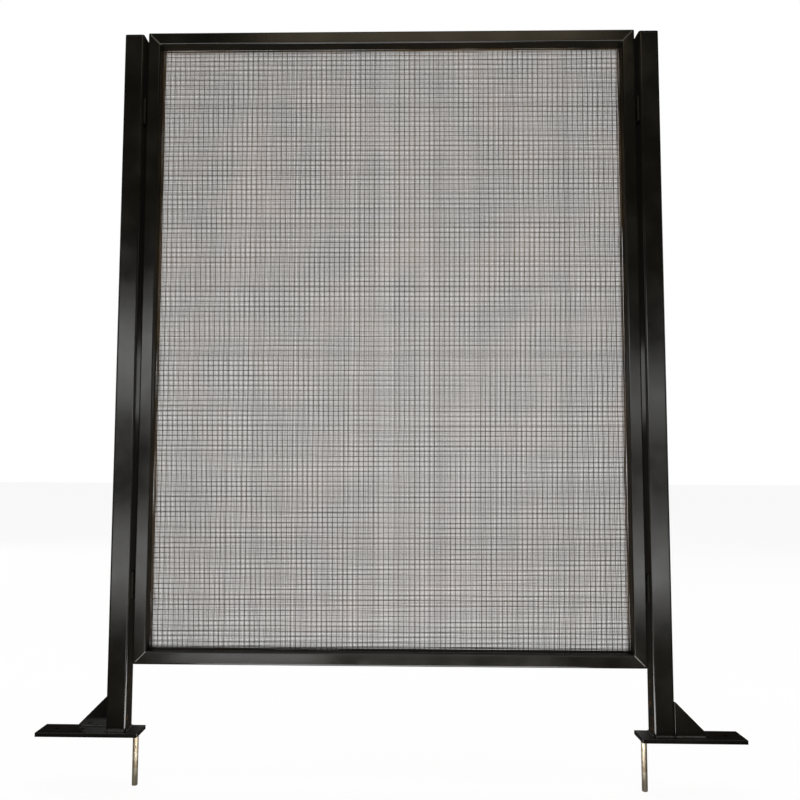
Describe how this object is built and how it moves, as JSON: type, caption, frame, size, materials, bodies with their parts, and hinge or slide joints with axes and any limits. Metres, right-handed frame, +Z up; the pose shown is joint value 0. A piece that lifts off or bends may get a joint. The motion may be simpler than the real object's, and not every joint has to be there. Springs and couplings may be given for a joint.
{
  "type": "fireplace screen",
  "caption": "Woven-wire spark screen: a framed panel that lifts off between two square posts, each on a gusseted foot plate with a hearth pin.",
  "frame": {"origin": "on the hearth, midway between the two posts, level with the undersides of the foot plates; the hearth pins reach below it", "axes": "+X across the screen to the right as seen from the room, +Y from the room towards the fire, +Z up"},
  "size_m": [0.851, 0.0365, 0.9485],
  "materials": {
    "black_paint": "semi-gloss black spray paint over welded mild steel",
    "black_wire": "black-coated plain-weave steel wire",
    "bare_steel": "bare drawn steel rod, bright",
    "plated_steel": "zinc-plated pan-head screw"
  },
  "bodies": {
    "posts": {"left_post": "black_paint", "left_post_cap": "black_paint", "left_foot_plate": "black_paint", "left_gusset": "black_paint", "left_hearth_pin": "bare_steel", "left_upper_saddle": "black_paint", "left_lower_saddle": "black_paint", "right_post": "black_paint", "right_post_cap": "black_paint", "right_foot_plate": "black_paint", "right_gusset": "black_paint", "right_hearth_pin": "bare_steel", "right_upper_saddle": "black_paint", "right_lower_saddle": "black_paint"},
    "panel": {"top_rail": "black_paint", "top_rail_strip": "black_paint", "top_rail_screw_1": "plated_steel", "top_rail_screw_2": "plated_steel", "top_rail_screw_3": "plated_steel", "right_stile": "black_paint", "right_stile_strip": "black_paint", "right_stile_screw_1": "plated_steel", "right_stile_screw_2": "plated_steel", "right_stile_screw_3": "plated_steel", "right_stile_screw_4": "plated_steel", "bottom_rail": "black_paint", "bottom_rail_strip": "black_paint", "bottom_rail_screw_1": "plated_steel", "bottom_rail_screw_2": "plated_steel", "bottom_rail_screw_3": "plated_steel", "left_stile": "black_paint", "left_stile_strip": "black_paint", "left_stile_screw_1": "plated_steel", "left_stile_screw_2": "plated_steel", "left_stile_screw_3": "plated_steel", "left_stile_screw_4": "plated_steel", "wire_mesh": "black_wire", "left_upper_peg": "black_paint", "left_lower_peg": "black_paint", "right_upper_peg": "black_paint", "right_lower_peg": "black_paint"}
  },
  "joints": [
    {"name": "panel_lift", "type": "slide", "parent": "posts", "child": "panel", "axis": [0, 0, 1], "range_m": [0, 0.02]}
  ]
}
